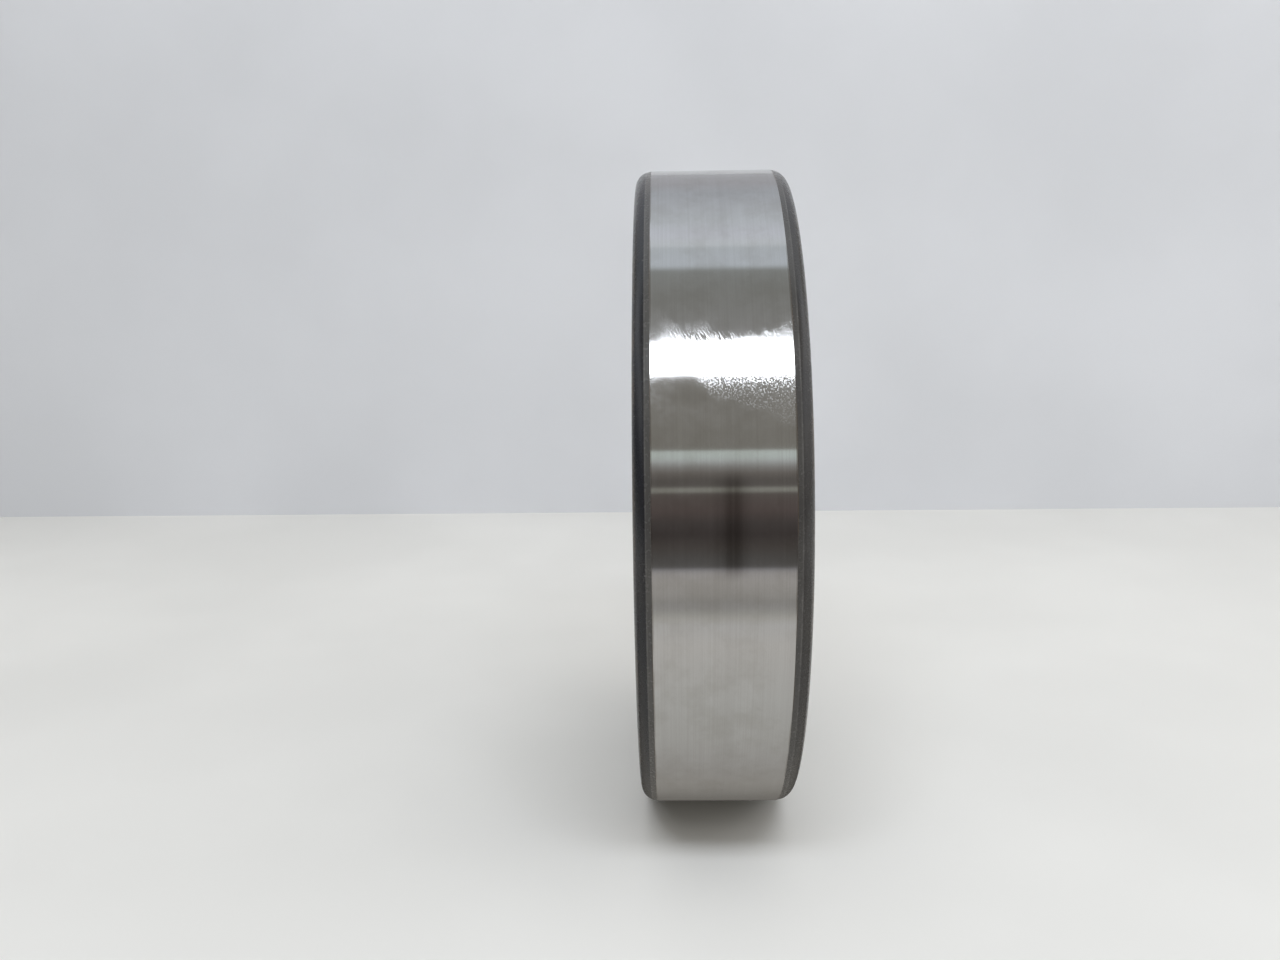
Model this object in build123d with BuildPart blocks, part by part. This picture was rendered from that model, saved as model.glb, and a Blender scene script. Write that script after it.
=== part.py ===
from build123d import *

import os
from math import asin, atan2, cos, degrees, radians, sin, sqrt

# Double-row spherical roller bearing, open, with a plain outside diameter and a cylindrical bore.
# +Y is the bearing's axis and the origin is its centre, so the bearing stands on its rim with +Z up.
# The row of rollers at +Y is the right row and the one at -Y the left. All sizes are in millimetres.

# Boundary sizes
bore_diameter = 85.0
outer_diameter = 180.0
width = 41.0

# Outer ring: a shallow lead-in chamfer runs from the outside diameter into each rounded corner, which ends
# level with the face
outer_corner_radius = 4.0
outer_corner_length = 2.95
lead_in_length = 1.3
lead_in_depth = 0.33
raceway_edge_chamfer = 1.0

# Inner ring: two raceways with a narrow land between them, and a turned shoulder beside each face
bore_corner_radius = 3.0
centre_land_depth = 0.3
shoulder_length = 2.2
shoulder_relief = 0.5
shoulder_chamfer = 1.0

# Rollers: barrels with a shallow dished recess in each end, and gaps between neighbours on the pitch circle
rollers_per_row = 18
roller_gap = 3.27
roller_corner = 1.0
recess_diameter = 7.0
recess_depth = 0.5

# Rows: how far the pitch circle lies outside the middle of the section, and where the rollers' ends stand
pitch_shift = 0.75
row_gap = 5.2
end_setback = 3.4

# Raceways: the play at each one, and how much flatter than the roller's profile each is
raceway_clearance = 0.1
outer_raceway_flatness = 1.3
inner_raceway_flatness = 2.5

# Cages: pressed steel, a cone with a window for each roller and a flange turned in behind the roller ends
cage_thickness = 1.8
cage_offset = 4.2
cage_bend_radius = 1.2
cage_centre_gap = 0.7
pocket_side_clearance = 0.15
pocket_end_clearance = 0.3
pocket_corner_radius = 0.8
flange_gap = 0.5
flange_bore_clearance = 1.6

# Guide ring: floats between the rows, outside the inner ring's land and under the rims of the cages
guide_end_clearance = 0.3
guide_bore_clearance = 0.25
guide_rim_clearance = 0.5
guide_edge_fillet = 0.3

half_width = width / 2
bore_radius = bore_diameter / 2
outer_radius = outer_diameter / 2

# Each roller's centre lies on the pitch circle, and the roller is as thick as its neighbours leave room for.
row_pitch = 360 / rollers_per_row
pitch_radius = (bore_radius + outer_radius) / 2 + pitch_shift
roller_radius = pitch_radius * sin(radians(row_pitch / 2)) - roller_gap / 2

# A row runs from half the gap between the rows to its setback from the ring's face.
inner_end = row_gap / 2
outer_end = half_width - end_setback
row_centre = (inner_end + outer_end) / 2

# A line from the bearing's centre through the roller's middle makes the contact angle with the radius.
contact_angle = atan2(row_centre, pitch_radius)
cos_contact = cos(contact_angle)
sin_contact = sin(contact_angle)
centre_distance = pitch_radius / cos_contact
roller_length = (outer_end - inner_end) / cos_contact

# The outer raceway is part of a sphere about the bearing's centre, so the whole inner set can swivel in it.
sphere_radius = centre_distance + roller_radius + raceway_clearance
raceway_edge = half_width - raceway_edge_chamfer
roller_profile_radius = sphere_radius - outer_raceway_flatness

# The inner raceway's profile is an arc whose centre lies further out on the line through the roller's middle.
inner_raceway_radius = roller_profile_radius + inner_raceway_flatness
inner_arc_distance = centre_distance - roller_radius - raceway_clearance + inner_raceway_radius
inner_arc_centre = (inner_arc_distance * cos_contact, inner_arc_distance * sin_contact)


def section_point(along, out, side=1):
    """Radius and axial place of a point given along a roller's own axis and outward across it."""
    radius = pitch_radius - along * sin_contact + out * cos_contact
    axial = row_centre + along * cos_contact + out * sin_contact
    return radius, side * axial


def out_at(radius, along):
    """How far outward across the roller's axis a line at that place along it reaches a radius."""
    return (radius - pitch_radius + along * sin_contact) / cos_contact


def along_at(axial, out):
    """How far along the roller's axis a line at that height above it reaches an axial place."""
    return (axial - row_centre - out * sin_contact) / cos_contact


def inner_raceway(axial):
    """A point of the right-hand inner raceway's profile."""
    rise = sqrt(inner_raceway_radius**2 - (axial - inner_arc_centre[1]) ** 2)
    return inner_arc_centre[0] - rise, axial


# The land cuts off the ridge between the two inner raceways, and the shoulder begins where they end.
land_radius = inner_raceway(0)[0] - centre_land_depth
land_edge = inner_arc_centre[1] - sqrt(inner_raceway_radius**2 - (inner_arc_centre[0] - land_radius) ** 2)
shoulder_start = half_width - shoulder_length
shoulder_radius = inner_raceway(shoulder_start)[0] - shoulder_relief

# The cone's sheet lies above the roller axes, and the flange behind the rollers' outer ends.
cage_inside = cage_offset - cage_thickness / 2
cage_outside = cage_offset + cage_thickness / 2
rim_start = along_at(cage_centre_gap / 2, cage_inside)
flange_middle = roller_length / 2 + flange_gap + cage_thickness / 2
flange_bore = inner_raceway(shoulder_start)[0] + flange_bore_clearance
flange_end = out_at(flange_bore, flange_middle + cage_thickness / 2)

# The windows are narrower than the rollers, so the cage holds them in. A window's side meets the roller
# at the cone's inner surface, which curves down beside the roller.
window_radius = section_point(roller_length / 2, cage_inside)[0]
cone_drop = window_radius - sqrt(window_radius**2 - roller_radius**2)
half_chord = sqrt(roller_radius**2 - (cage_inside - cone_drop) ** 2)
pocket_width = 2 * (half_chord + pocket_side_clearance)
pocket_length = roller_length + 2 * pocket_end_clearance

# The guide ring's section is a wedge whose sides face the rollers' inner ends.
guide_side = -(roller_length / 2 + guide_end_clearance)
guide_bore = land_radius + guide_bore_clearance
guide_outside = section_point(-roller_length / 2, cage_inside)[0] - guide_rim_clearance

rows = {"left": -1, "right": 1}


def roller_plane(side, number):
    """The plane of one roller's profile: x points outward across the roller and y along its axis.

    The rows are staggered, so the left row's rollers stand between those of the right row.
    """
    stagger = 0.5 if side < 0 else 0
    radial = Vector(0, 0, 1).rotate(Axis.Y, row_pitch * (number + stagger))
    axial = Vector(0, 1, 0)
    centre = radial * pitch_radius + axial * side * row_centre
    out = radial * cos_contact + axial * side * sin_contact
    along = axial * cos_contact - radial * side * sin_contact
    return Plane(origin=centre, x_dir=out, z_dir=out.cross(along))


os.makedirs("parts", exist_ok=True)


# Outer ring

with BuildPart() as outer_ring:
    with BuildSketch():
        with BuildLine():
            edge_angle = degrees(asin(raceway_edge / sphere_radius))
            raceway = CenterArc((0, 0), sphere_radius, 0, edge_angle)
            corner_start = degrees(asin(1 - outer_corner_length / outer_corner_radius))
            corner_rise = outer_corner_radius * cos(radians(corner_start))
            corner = CenterArc(
                (outer_radius - lead_in_depth - corner_rise, half_width - outer_corner_radius),
                outer_corner_radius,
                corner_start,
                90 - corner_start,
            )
            face_edge = ((raceway @ 1).X + raceway_edge_chamfer, half_width)
            Polyline(raceway @ 1, face_edge, corner @ 1)
            lead_in_start = (outer_radius, half_width - outer_corner_length - lead_in_length)
            Polyline(corner @ 0, lead_in_start, (outer_radius, 0))
            mirror(about=Plane.XZ)
        make_face()
    revolve(axis=Axis.Y)

outer_ring.part.label = "outer_ring"
export_step(outer_ring.part, "parts/outer_ring.step")


# Inner ring

with BuildPart() as inner_ring:
    with BuildSketch():
        with BuildLine():
            middle_of_raceway = inner_raceway((land_edge + shoulder_start) / 2)
            raceway = ThreePointArc(inner_raceway(land_edge), middle_of_raceway, inner_raceway(shoulder_start))
            corner = CenterArc(
                (bore_radius + bore_corner_radius, half_width - bore_corner_radius),
                bore_corner_radius,
                90,
                90,
            )
            Polyline(
                raceway @ 1,
                (shoulder_radius, shoulder_start),
                (shoulder_radius, half_width - shoulder_chamfer),
                (shoulder_radius - shoulder_chamfer, half_width),
                corner @ 0,
            )
            Line(corner @ 1, (bore_radius, 0))
            Line(raceway @ 0, (land_radius, 0))
            mirror(about=Plane.XZ)
        make_face()
    revolve(axis=Axis.Y)

inner_ring.part.label = "inner_ring"
export_step(inner_ring.part, "parts/inner_ring.step")


# Guide ring

with BuildPart() as guide_ring:
    with BuildSketch() as wedge:
        with BuildLine():
            Polyline(
                (guide_bore, 0),
                section_point(guide_side, out_at(guide_bore, guide_side)),
                section_point(guide_side, out_at(guide_outside, guide_side)),
                (guide_outside, 0),
            )
            mirror(about=Plane.XZ)
        make_face()
        fillet(wedge.vertices(), guide_edge_fillet)
    revolve(axis=Axis.Y)

guide_ring.part.label = "guide_ring"
export_step(guide_ring.part, "parts/guide_ring.step")


# Cages

for row, side in rows.items():
    with BuildPart() as cage:
        with BuildSketch():
            with BuildLine():
                FilletPolyline(
                    section_point(rim_start, cage_offset, side),
                    section_point(flange_middle, cage_offset, side),
                    section_point(flange_middle, flange_end, side),
                    radius=cage_bend_radius + cage_thickness / 2,
                )
            trace(line_width=cage_thickness)
        revolve(axis=Axis.Y)
        for number in range(rollers_per_row):
            place = roller_plane(side, number)
            with BuildSketch(Plane(origin=place.origin, x_dir=place.z_dir, z_dir=place.x_dir)):
                RectangleRounded(pocket_width, pocket_length, pocket_corner_radius)
            extrude(amount=cage_outside + cage_thickness, mode=Mode.SUBTRACT)
    cage.part.label = f"cage_{row}"
    export_step(cage.part, f"parts/cage_{row}.step")


# Rollers

end_radius = roller_radius - roller_profile_radius + sqrt(roller_profile_radius**2 - (roller_length / 2) ** 2)

for row, side in rows.items():
    for number in range(rollers_per_row):
        place = roller_plane(side, number)
        with BuildPart() as roller:
            with BuildSketch(place) as half_barrel:
                with BuildLine():
                    top = (end_radius, roller_length / 2)
                    bottom = (end_radius, -roller_length / 2)
                    ThreePointArc(bottom, (roller_radius, 0), top)
                    Line(top, (0, roller_length / 2))
                    Line((0, roller_length / 2), (0, -roller_length / 2))
                    Line((0, -roller_length / 2), bottom)
                make_face()
                fillet(half_barrel.vertices().group_by(Axis.X)[-1], roller_corner)
                for end in (-roller_length / 2, roller_length / 2):
                    inward = recess_depth if end < 0 else -recess_depth
                    with BuildLine():
                        ThreePointArc((-recess_diameter / 2, end), (0, end + inward), (recess_diameter / 2, end))
                        Line((-recess_diameter / 2, end), (recess_diameter / 2, end))
                    make_face(mode=Mode.SUBTRACT)
            revolve(axis=Axis(place.origin, place.y_dir))
        name = f"roller_{row}_{number + 1:02d}"
        roller.part.label = name
        export_step(roller.part, f"parts/{name}.step")
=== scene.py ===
import bpy
import numpy as np
from math import asin, atan2, cos, pi, radians, sin, sqrt
from mathutils import Matrix, Vector


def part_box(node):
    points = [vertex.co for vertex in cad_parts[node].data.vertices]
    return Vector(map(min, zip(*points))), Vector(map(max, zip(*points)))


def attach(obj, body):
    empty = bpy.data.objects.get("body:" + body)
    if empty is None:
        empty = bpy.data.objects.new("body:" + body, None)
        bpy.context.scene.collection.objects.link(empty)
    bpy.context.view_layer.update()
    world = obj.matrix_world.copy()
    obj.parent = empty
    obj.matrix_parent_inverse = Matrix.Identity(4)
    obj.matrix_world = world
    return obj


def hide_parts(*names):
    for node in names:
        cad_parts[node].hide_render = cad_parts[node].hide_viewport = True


# A spherical roller bearing standing on its rim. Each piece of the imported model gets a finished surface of
# the same size. Lengths are in millimetres until they go into Blender, in metres. +Y is the bearing's axis.

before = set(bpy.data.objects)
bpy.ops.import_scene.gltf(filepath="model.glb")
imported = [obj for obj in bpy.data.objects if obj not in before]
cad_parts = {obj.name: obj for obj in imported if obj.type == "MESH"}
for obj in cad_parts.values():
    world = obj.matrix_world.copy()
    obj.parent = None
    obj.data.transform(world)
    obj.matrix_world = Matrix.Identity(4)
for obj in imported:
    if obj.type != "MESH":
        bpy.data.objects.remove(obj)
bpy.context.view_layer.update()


def mm(value):
    return value / 1000


def linearColour(hexText):
    # sRGB hex to linear: divide by 12.92 near black, and raise to the power 2.4 above it
    s = np.array([int(hexText[i:i + 2], 16) for i in (1, 3, 5)]) / 255
    return (*np.where(s <= 0.04045, s / 12.92, ((s + 0.055) / 1.055) ** 2.4).tolist(), 1.0)


def nodeAdder(tree):
    # gives the function that adds nodes to this tree. Sockets go in order or by name, and each takes a value,
    # a hex colour, an output or a node, which means its first output that is on. The rest are its settings
    def add(kind, sockets=(), **settings):
        node = tree.nodes.new("ShaderNode" + kind)
        for name, value in settings.items():
            setattr(node, name, value)
        for place, value in sockets.items() if isinstance(sockets, dict) else enumerate(sockets):
            if isinstance(value, bpy.types.Node):
                value = next(output for output in value.outputs if output.enabled)
            if isinstance(value, bpy.types.NodeSocket):
                tree.links.new(value, node.inputs[place])
            else:
                node.inputs[place].default_value = linearColour(value) if isinstance(value, str) else value
        return node

    return add


# Settings that come up again and again. A Math node without any adds.
times = {"operation": "MULTIPLY"}
timesPlus = {"operation": "MULTIPLY_ADD"}  # the first times the second, plus the third
minus = {"operation": "SUBTRACT"}
smooth = {"interpolation_type": "SMOOTHSTEP"}  # a Map Range that eases in and out, and stops at both ends
colours = {"data_type": "RGBA"}  # a Mix whose sockets 6 and 7 are the colours under and over


def newMaterial(name):
    material = bpy.data.materials.new(name)
    material.use_nodes = True
    material.node_tree.nodes.clear()
    return material, nodeAdder(material.node_tree)


def latheCoordinates(add):
    # the piece's own place before it was put in the bearing, with Y as its axis: vector, x, y, z and radius
    own = add("Attribute", attribute_name="ownPlace").outputs["Vector"]
    x, y, z = add("SeparateXYZ", [own]).outputs
    squares = add("Math", [z, z, add("Math", [x, x], **times)], **timesPlus)
    return own, x, y, z, add("Math", [squares], operation="SQRT")


def turnedLines(add, place, spacingMm, lengthMm):
    # noise on (radius, y) at the line spacing, drifting slowly round the axis, so lines run round the piece
    own, x, y, z, radius = place
    fine, slow = 1000 / spacingMm, 1000 / lengthMm
    scaled = [add("Math", [value, fine], **times) for value in (radius, y)]
    scaled += [add("Math", [value, slow], **times) for value in (x, z)]
    sockets = {"Vector": add("CombineXYZ", scaled[:3]), "W": scaled[3], "Scale": 1.0, "Detail": 2.0}
    return add("TexNoise", sockets, noise_dimensions="4D")


def within(add, value, low, high, fade):
    # 1 from low to high, falling to 0 over the fade on each side
    rise = add("MapRange", [value, low - fade, low], **smooth)
    return add("Math", [rise, add("MapRange", [value, high, high + fade, 1.0, 0.0], **smooth)], **times)


def finishSteel(add, sockets):
    # the grooves run round the piece, so a reflection spreads along its axis
    turning = add("Tangent", direction_type="UV_MAP", uv_map="turning")
    shader = add("BsdfPrincipled", {**sockets, "Tangent": turning, "Anisotropic Rotation": 0.25})
    add("OutputMaterial", {"Surface": shader})


# Through-hardened chromium steel, ground: bright, with fine lines round the axis and a thin film of oil.
def groundSteel(name, look):
    material, add = newMaterial(name)
    place = latheCoordinates(add)
    lines = turnedLines(add, place, look["lineMm"], look["lineLengthMm"])
    settings = {"Vector": place[0], "Scale": 1000 / look["cloudMm"], "Detail": 4.0, "Roughness": 0.6}
    cloud = add("TexNoise", settings)
    film = add("MapRange", [cloud, 0.42, 0.68], **smooth)
    rough = add("Math", [lines, look["lineRoughness"], look["roughness"]], **timesPlus)
    rough = add("Math", [film, look["filmRoughness"], rough], **timesPlus)
    tint = add("Math", [cloud, 0.6, add("Math", [lines, 0.7], **times)], **timesPlus)
    tint = add("Math", [tint, look["tint"]], **times)
    finishSteel(add, {
        "Base Color": add("Mix", {0: tint, 6: look["colour"], 7: look["shade"]}, **colours),
        "Metallic": 1.0,
        "Roughness": rough,
        "Anisotropic": look["anisotropy"],
        "Normal": add("Bump", {"Strength": 1.0, "Distance": mm(look["lineDepthMm"]), "Height": lines}),
    })
    return material


# The rim is the same ground steel with what handling left on it: smeared oil, dried specks and staining.
# Angles are in degrees up from the front, and places across the rim are from its middle.
rimLook = {
    "colour": "#c9c9c9",
    "shade": "#aeacaa",
    "lineMm": 0.26,  # real grinding lines are about 0.02 mm apart, drawn coarser so that they show
    "lineLengthMm": 60,
    "lineDepthMm": 0.0005,
    "broadLineMm": 1.6,
    "broadLineLengthMm": 90,
    "roughness": 0.09,
    "anisotropy": 0.85,
    "oil": 0.16,  # how much of the rim the thin oil film covers where it isn't smeared
    "oilRoughness": 0.3,
    "oilIor": 1.47,
    "waveMm": 6,
    "smearFrom": 33.6,
    "smearMiddle": 36.0,
    "smearPlaceMm": 4.0,
    "smearHalfWidthMm": 14,
    "smearRise": 2.6,  # how much higher the smear reaches at the ends of that width
    "speckMm": 0.4,
    "speckFrom": 24.4,
    "speckTo": 28.2,
    "wipeAngles": (21.5, 28.0),
    "trailAngles": (20.8, 23.4),
    "wipeMm": 3,
    "veilAngles": (33, 45),
    "veilMm": 11,
    "stainAngles": (2.0, 11.0),
    "stainPlaceMm": 2.0,
    "stainHalfWidthMm": 5.5,
    "stain": "#7a7672",
    "mottle": "#a09d97",
    "mottleMm": 9,
    "edgeTone": "#6f675c",
    "edgeToneMm": 18,
}


def rimSteel(name, look, landMm):
    material, add = newMaterial(name)
    place = latheCoordinates(add)
    own, x, y, z, radius = place
    lines = turnedLines(add, place, look["lineMm"], look["lineLengthMm"])
    broadLines = turnedLines(add, place, look["broadLineMm"], look["broadLineLengthMm"])
    angle = add("Math", [add("Math", [z, x], operation="ARCTAN2")], operation="DEGREES")
    across = add("Math", [y, 1000], **times)
    wave = add("TexNoise", {"Vector": own, "Scale": 1000 / look["waveMm"], "Detail": 3.0})
    wave = add("Math", [wave, 0.5], **minus)
    bristles = smearedOil(add, look, angle, across, wave)
    haze, specks = driedSpecks(add, look, own, angle, across, wave)
    wiped = wipedOil(add, look, own, angle, across, wave)
    oil = add("Math", [haze, 0.25, add("Math", [specks, 0.75], **times)], **timesPlus)
    oil = add("Math", [oil, add("Math", [bristles, wiped])])
    oil = add("Math", [oil, look["oil"]], use_clamp=True)
    rough = add("Math", [lines, 0.03, look["roughness"]], **timesPlus)
    height = add("Math", [lines, look["lineDepthMm"]], **times)
    for mark, roughening, heightMm in ((bristles, 0.15, 0.01), (specks, 0.19, 0.003), (wiped, 0.06, 0)):
        rough = add("Math", [mark, roughening, rough], **timesPlus)
        height = add("Math", [mark, heightMm, height], **timesPlus)
    finishSteel(add, {
        "Base Color": rimColour(add, look, own, y, angle, lines, broadLines, landMm),
        "Metallic": 1.0,
        "Roughness": rough,
        "Anisotropic": look["anisotropy"],
        "Normal": add("Bump", {"Strength": 1.0, "Distance": mm(1), "Height": height}),
        "Coat Weight": oil,
        "Coat Roughness": look["oilRoughness"],
        "Coat IOR": look["oilIor"],
    })
    return material


def smearedOil(add, look, angle, across, wave):
    # wiped oil leaves slanting bristles, in a smear with a level foot that reaches highest near the edges
    leaning = add("Math", [across, 2.4, add("Math", [angle, 1.5], **times)], **timesPlus)
    hair = add("CombineXYZ", [leaning, add("Math", [angle, 0.6], **times)])
    bristles = add("TexNoise", {"Vector": hair, "Scale": 1.0, "Detail": 3.0})
    aside = add("Math", [across, look["smearPlaceMm"]], **minus)
    aside = add("Math", [aside, 1 / look["smearHalfWidthMm"]], **times)
    top = add("Math", [aside, aside], **times)
    top = add("Math", [top, look["smearRise"], look["smearMiddle"]], **timesPlus)
    depth = add("Math", [add("Math", [wave, 11.0, top], **timesPlus), angle], **minus)
    foot = add("MapRange", [angle, look["smearFrom"] - 2.5, look["smearFrom"]], **smooth)
    smear = add("Math", [add("MapRange", [depth, -0.8, 2.6], **smooth), foot], **times)
    smear = add("Math", [smear, add("MapRange", [across, -15.5, -12, 0.3, 1.0], **smooth)], **times)
    bristles = add("Math", [depth, 0.03, bristles], **timesPlus)
    return add("Math", [add("MapRange", [bristles, 0.47, 0.64, 0.1, 1.0], **smooth), smear], **times)


def driedSpecks(add, look, own, angle, across, wave):
    # dried specks lower down, on the right, over a thin haze whose foot slants
    foot = add("Math", [look["speckFrom"], add("Math", [across, 0.27], **times)], **minus)
    foot = add("Math", [wave, 4.0, foot], **timesPlus)
    haze = add("MapRange", [add("Math", [angle, foot], **minus), -0.4, 1.0], **smooth)
    fading = add("MapRange", [angle, look["speckTo"], look["speckTo"] + 3, 1.0, 0.0], **smooth)
    side = add("MapRange", [add("Math", [wave, 5.0, across], **timesPlus), -6.5, -3.5], **smooth)
    haze = add("Math", [add("Math", [haze, fading], **times), side], **times)
    dots = add("TexNoise", {"Vector": own, "Scale": 1000 / look["speckMm"], "Detail": 1.0})
    return haze, add("Math", [add("MapRange", [dots, 0.42, 0.68], **smooth), haze], **times)


def wipedOil(add, look, own, angle, across, wave):
    # a streaky wipe at the far left with a trail under it, and a faint film in patches above the smear
    wipe = add("MapRange", [across, -14.5, -9.5, 0.8, 0.0], **smooth)
    wipe = add("Math", [within(add, angle, *look["wipeAngles"], 1.5), wipe], **times)
    trail = within(add, add("Math", [wave, 4.0, angle], **timesPlus), *look["trailAngles"], 1.0)
    wipe = add("Math", [wipe, add("Math", [trail, 0.6], **times)], operation="MAXIMUM")
    settings = {"Vector": own, "Scale": 1000 / look["wipeMm"], "Detail": 4.0, "Roughness": 0.7}
    streaks = add("TexNoise", settings)
    wipe = add("Math", [wipe, add("MapRange", [streaks, 0.4, 0.62, 0.15, 1.0], **smooth)], **times)
    patches = add("TexNoise", {"Vector": own, "Scale": 1000 / look["veilMm"], "Detail": 3.0})
    veil = add("MapRange", [patches, 0.46, 0.62, 0.0, 0.3], **smooth)
    return add("Math", [within(add, angle, *look["veilAngles"], 3.0), veil, wipe], **timesPlus)


def rimColour(add, look, own, y, angle, lines, broadLines, landMm):
    # steel toned by its lines and mottled, with staining from the wrapping as a darker band round part of the
    # rim, and a dirty tone along its edges
    tint = add("Math", [lines, 0.5, add("Math", [broadLines, 0.4], **times)], **timesPlus)
    colour = add("Mix", {0: tint, 6: look["colour"], 7: look["shade"]}, **colours)
    settings = {"Vector": own, "Scale": 1000 / look["mottleMm"], "Detail": 5.0, "Roughness": 0.6}
    mottle = add("TexNoise", settings)
    mottle = add("MapRange", [mottle, 0.4, 0.7, 0.0, 0.3], **smooth)
    away = add("Math", [add("Math", [y, mm(look["stainPlaceMm"])], **minus)], operation="ABSOLUTE")
    band = add("MapRange", [away, 0, mm(look["stainHalfWidthMm"]), 1.0, 0.0], **smooth)
    band = add("Math", [band, add("MapRange", [broadLines, 0.36, 0.6, 0.7, 1.0], **smooth)], **times)
    stained = add("MapRange", [within(add, angle, *look["stainAngles"], 5.0), 0, 1, 0.05, 0.85], **smooth)
    station = add("Math", [y], operation="ABSOLUTE")
    edge = add("MapRange", [station, mm(landMm - 0.35), mm(landMm - 0.05)], **smooth)
    patches = add("TexNoise", {"Vector": own, "Scale": 1000 / look["edgeToneMm"], "Detail": 2.0})
    dirt = add("Math", [edge, add("MapRange", [patches, 0.42, 0.58, 0.0, 0.7], **smooth)], **times)
    stained = add("Math", [band, stained], **times)
    for factor, tone in ((mottle, "mottle"), (stained, "stain"), (dirt, "edgeTone")):
        colour = add("Mix", {0: factor, 6: colour, 7: look[tone]}, **colours)
    return colour


# Heat-treatment scale: the thin blue-black oxide that hardening leaves on turned corners, never ground off.
scaleLook = {
    "blueBlack": "#17181d",
    "brown": "#35322f",
    "chamfer": "#4f4d4a",
    "worn": "#8f8d8a",
    "rust": "#54432f",
    "roughness": 0.25,
    "turningMm": 0.16,
    "turningLengthMm": 25,
    "turningDepthMm": 0.0012,
    "patchMm": 16,
    "gritMm": 0.9,
    "gritDepthMm": 0.0006,
    "rubMm": 9,
    "nickMm": 1.1,
    "nickGroupMm": 17,
    "nickDepthMm": 0.03,
    "rustMm": 12,
}


def blackScale(name, look, ridgeMm, landMm, faceMm):
    material, add = newMaterial(name)
    place = latheCoordinates(add)
    own, y = place[0], place[2]
    lines = turnedLines(add, place, look["turningMm"], look["turningLengthMm"])
    settings = {"Vector": own, "Scale": 1000 / look["patchMm"], "Detail": 4.0, "Roughness": 0.6}
    patches = add("TexNoise", settings)
    patches = add("MapRange", [patches, 0.38, 0.62], **smooth)
    grit = add("TexNoise", {"Vector": own, "Scale": 1000 / look["gritMm"], "Detail": 2.0})
    station = add("Math", [y], operation="ABSOLUTE")
    # the right-hand corner is browner, and the lead-in chamfer has thinner, greyer scale
    onRight = add("MapRange", [y, mm(-1), mm(1), 0.0, 0.6], **smooth)
    browned = add("Math", [patches, 0.25, onRight], **timesPlus)
    colour = add("Mix", {0: browned, 6: look["blueBlack"], 7: look["brown"]}, **colours)
    onLead = add("MapRange", [station, mm(ridgeMm - 0.05), mm(ridgeMm + 0.25), 1.0, 0.0], **smooth)
    onLead = add("Math", [onLead, add("MapRange", [y, mm(-1), mm(1), 1.0, 0.55], **smooth)], **times)
    onLead = add("Math", [onLead, add("MapRange", [patches, 0, 1, 0.75, 1.0], **smooth)], **times)
    colour = add("Mix", {0: onLead, 6: colour, 7: look["chamfer"]}, **colours)
    # the ridge between chamfer and rounding is rubbed, and nicked bright in places
    offRidge = add("Math", [add("Math", [station, mm(ridgeMm)], **minus)], operation="ABSOLUTE")
    ridge = add("MapRange", [offRidge, mm(0.05), mm(0.25), 1.0, 0.0], **smooth)
    rubbing = add("TexNoise", {"Vector": own, "Scale": 1000 / look["rubMm"], "Detail": 3.0, "Roughness": 0.6})
    rub = add("Math", [ridge, add("MapRange", [rubbing, 0.4, 0.62, 0.08, 0.26], **smooth)], **times)
    groups = add("TexNoise", {"Vector": own, "Scale": 1000 / look["nickGroupMm"], "Detail": 2.0})
    nicks = add("TexNoise", {"Vector": own, "Scale": 1000 / look["nickMm"], "Detail": 3.0})
    nicks = add("MapRange", [nicks, 0.64, 0.7], **smooth)
    nicks = add("Math", [add("MapRange", [groups, 0.53, 0.6], **smooth), nicks], **times)
    nicks = add("Math", [add("MapRange", [offRidge, mm(0.2), mm(0.7), 1.0, 0.0], **smooth), nicks], **times)
    wear = add("Math", [nicks, 0.6, rub], use_clamp=True, **timesPlus)
    colour = add("Mix", {0: wear, 6: colour, 7: look["worn"]}, **colours)
    # a rusty tone where the scale meets ground metal, at the rim and at the face
    atRim = add("MapRange", [station, mm(landMm + 0.05), mm(landMm + 0.35), 0.5, 0.0], **smooth)
    atFace = add("MapRange", [station, mm(faceMm - 0.9), mm(faceMm - 0.1)], **smooth)
    rusting = add("TexNoise", {"Vector": own, "Scale": 1000 / look["rustMm"], "Detail": 3.0})
    rusting = add("MapRange", [rusting, 0.4, 0.6, 0.1, 0.85], **smooth)
    rust = add("Math", [add("Math", [atRim, atFace], use_clamp=True), rusting], **times)
    height = add("Math", [lines, look["turningDepthMm"]], **times)
    height = add("Math", [grit, look["gritDepthMm"], height], **timesPlus)
    height = add("Math", [nicks, -look["nickDepthMm"], height], **timesPlus)
    finishSteel(add, {
        "Base Color": add("Mix", {0: rust, 6: colour, 7: look["rust"]}, **colours),
        "Metallic": add("Math", [wear, 0.9], **times),
        "Roughness": add("Math", [grit, 0.04, look["roughness"]], **timesPlus),
        "Anisotropic": 0.3,
        "Normal": add("Bump", {"Strength": 1.0, "Distance": mm(1), "Height": height}),
    })
    return material


# Low-carbon strip, pressed and nitrocarburised: dull dark grey, a little lighter where tumbling rubbed edges.
sheetLook = {
    "colour": "#5b5a59",
    "shade": "#3f3e3f",
    "rubbed": "#8f8c88",
    "roughness": 0.32,
    "cloudMm": 7,
    "grainMm": 0.35,
    "grainDepthMm": 0.004,
    "rubMm": 2.5,
}


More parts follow.
